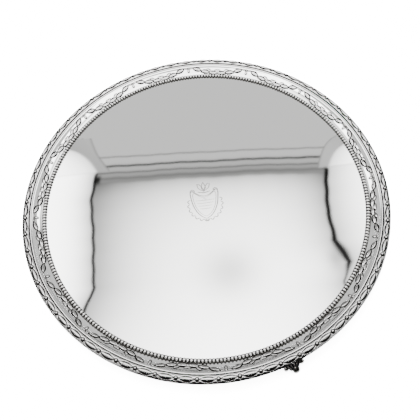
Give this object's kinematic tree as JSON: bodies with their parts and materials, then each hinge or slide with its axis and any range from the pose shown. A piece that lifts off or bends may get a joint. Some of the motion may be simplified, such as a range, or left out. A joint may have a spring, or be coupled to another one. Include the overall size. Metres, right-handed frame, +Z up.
{
  "type": "silver salver",
  "caption": "Round footed silver salver with a flat polished well, beaded edge, laurel swags on a sloping rim and a bossed border.",
  "frame": {"origin": "on the tray's axis, in the plane that its feet stand on", "axes": "+Z up along the tray's axis; -Y is the front, where a drop lies; +X to the right"},
  "size_m": [0.4029, 0.4, 0.0325],
  "materials": {
    "tray_silver": "polished",
    "cast_silver": "polished",
    "drawn_silver": "polished",
    "foot_silver": "gloss"
  },
  "bodies": {
    "root": {"tray": "tray_silver", "bead_wire": "cast_silver", "fillet_wire": "drawn_silver", "border_moulding": "cast_silver", "border_bosses_01": "cast_silver", "border_bosses_02": "cast_silver", "border_bosses_03": "cast_silver", "border_bosses_04": "cast_silver", "border_links": "cast_silver", "swag_01": "cast_silver", "swag_02": "cast_silver", "swag_03": "cast_silver", "swag_04": "cast_silver", "swag_05": "cast_silver", "swag_06": "cast_silver", "swag_07": "cast_silver", "swag_08": "cast_silver", "swag_09": "cast_silver", "swag_10": "cast_silver", "swag_11": "cast_silver", "swag_12": "cast_silver", "swag_13": "cast_silver", "swag_14": "cast_silver", "swag_15": "cast_silver", "swag_16": "cast_silver", "drop_01": "cast_silver", "drop_02": "cast_silver", "drop_03": "cast_silver", "drop_04": "cast_silver", "drop_05": "cast_silver", "drop_06": "cast_silver", "drop_07": "cast_silver", "drop_08": "cast_silver", "drop_09": "cast_silver", "drop_10": "cast_silver", "drop_11": "cast_silver", "drop_12": "cast_silver", "drop_13": "cast_silver", "drop_14": "cast_silver", "drop_15": "cast_silver", "drop_16": "cast_silver", "foot_01": "foot_silver", "foot_02": "foot_silver", "foot_03": "foot_silver", "foot_pad_01": "drawn_silver", "foot_pad_02": "drawn_silver", "foot_pad_03": "drawn_silver"}
  },
  "joints": []
}
